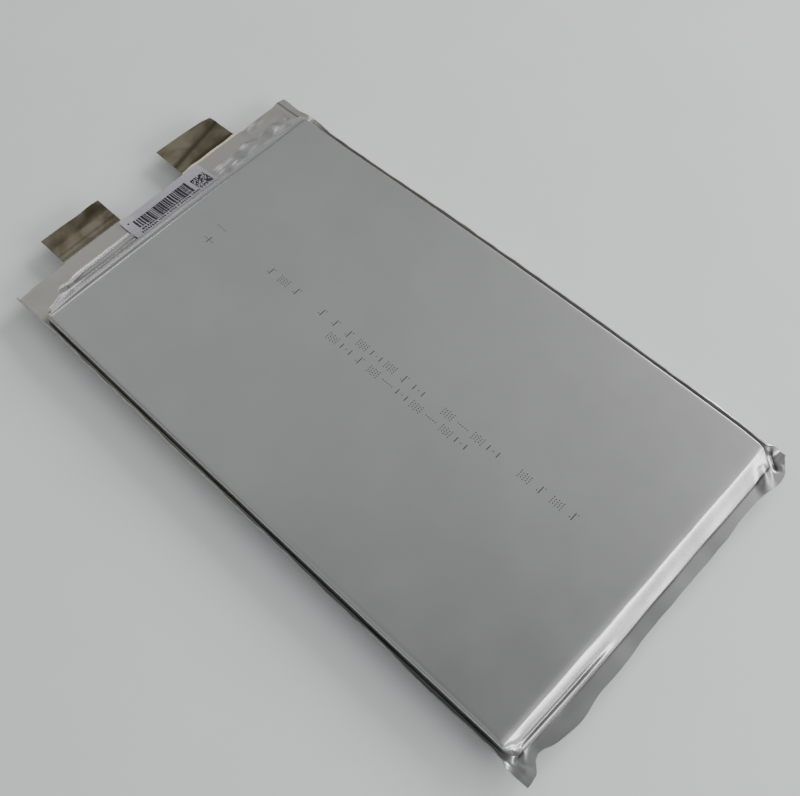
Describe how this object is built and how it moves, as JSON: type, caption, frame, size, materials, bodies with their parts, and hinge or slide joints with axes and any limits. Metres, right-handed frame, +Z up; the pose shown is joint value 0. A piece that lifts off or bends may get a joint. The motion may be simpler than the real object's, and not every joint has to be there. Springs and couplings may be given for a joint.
{
  "type": "pouch battery cell",
  "caption": "Flat rectangular pouch battery cell in folded aluminium laminate film, with two flat metal tabs side by side at one end and a small label on the seal.",
  "frame": {"origin": "under the middle of the cell's box, tabs included, on the surface that it lies on", "axes": "+X across the cell from the positive tab's side to the negative tab's side, +Y along the cell towards the tabs, +Z up out of the large face"},
  "size_m": [0.136, 0.2688, 0.011],
  "materials": {
    "aluminium_laminate": "satin nylon-faced aluminium laminate film",
    "nickel": "tarnished rolled nickel and nickel-plated copper",
    "aluminium": "rolled, dull",
    "sealant_polypropylene": "cream, translucent",
    "cathode_coating": "black powder coating on aluminium foil",
    "anode_coating": "dark grey graphite coating on copper foil",
    "separator_film": "white microporous film",
    "stack_tape": "green adhesive tape",
    "polyimide_tape": "amber adhesive tape",
    "label_paper": "matt white print label"
  },
  "bodies": {
    "cell": {"upper_pouch_film": "aluminium_laminate", "lower_pouch_film": "aluminium_laminate", "cathode_sheet_1": "cathode_coating", "cathode_sheet_2": "cathode_coating", "cathode_sheet_3": "cathode_coating", "cathode_sheet_4": "cathode_coating", "cathode_sheet_5": "cathode_coating", "cathode_sheet_6": "cathode_coating", "cathode_sheet_7": "cathode_coating", "cathode_sheet_8": "cathode_coating", "anode_sheet_1": "anode_coating", "anode_sheet_2": "anode_coating", "anode_sheet_3": "anode_coating", "anode_sheet_4": "anode_coating", "anode_sheet_5": "anode_coating", "anode_sheet_6": "anode_coating", "anode_sheet_7": "anode_coating", "anode_sheet_8": "anode_coating", "anode_sheet_9": "anode_coating", "separator_web": "separator_film", "stack_tape_near_rear": "stack_tape", "stack_tape_near_front": "stack_tape", "stack_tape_far_rear": "stack_tape", "stack_tape_far_front": "stack_tape", "stack_tape_bottom_near": "stack_tape", "stack_tape_bottom_far": "stack_tape", "positive_weld_tape_upper": "polyimide_tape", "positive_weld_tape_lower": "polyimide_tape", "negative_weld_tape_upper": "polyimide_tape", "negative_weld_tape_lower": "polyimide_tape", "positive_tab_sealant_upper": "sealant_polypropylene", "positive_tab_sealant_lower": "sealant_polypropylene", "negative_tab_sealant_upper": "sealant_polypropylene", "negative_tab_sealant_lower": "sealant_polypropylene", "positive_tab_root": "aluminium", "negative_tab_root": "nickel", "barcode_label": "label_paper"},
    "positive_tab": {"positive_tab_stub": "aluminium", "positive_nickel_lead": "nickel"},
    "negative_tab": {"negative_tab_blade": "nickel"}
  },
  "joints": [
    {"name": "positive_tab_bend", "type": "hinge", "parent": "cell", "child": "positive_tab", "pos_m": [-0.0317, 0.1187, 0.0055], "axis": [1, 0, 0], "range_deg": [-90, 90]},
    {"name": "negative_tab_bend", "type": "hinge", "parent": "cell", "child": "negative_tab", "pos_m": [0.0283, 0.1187, 0.0055], "axis": [1, 0, 0], "range_deg": [-90, 90]}
  ]
}
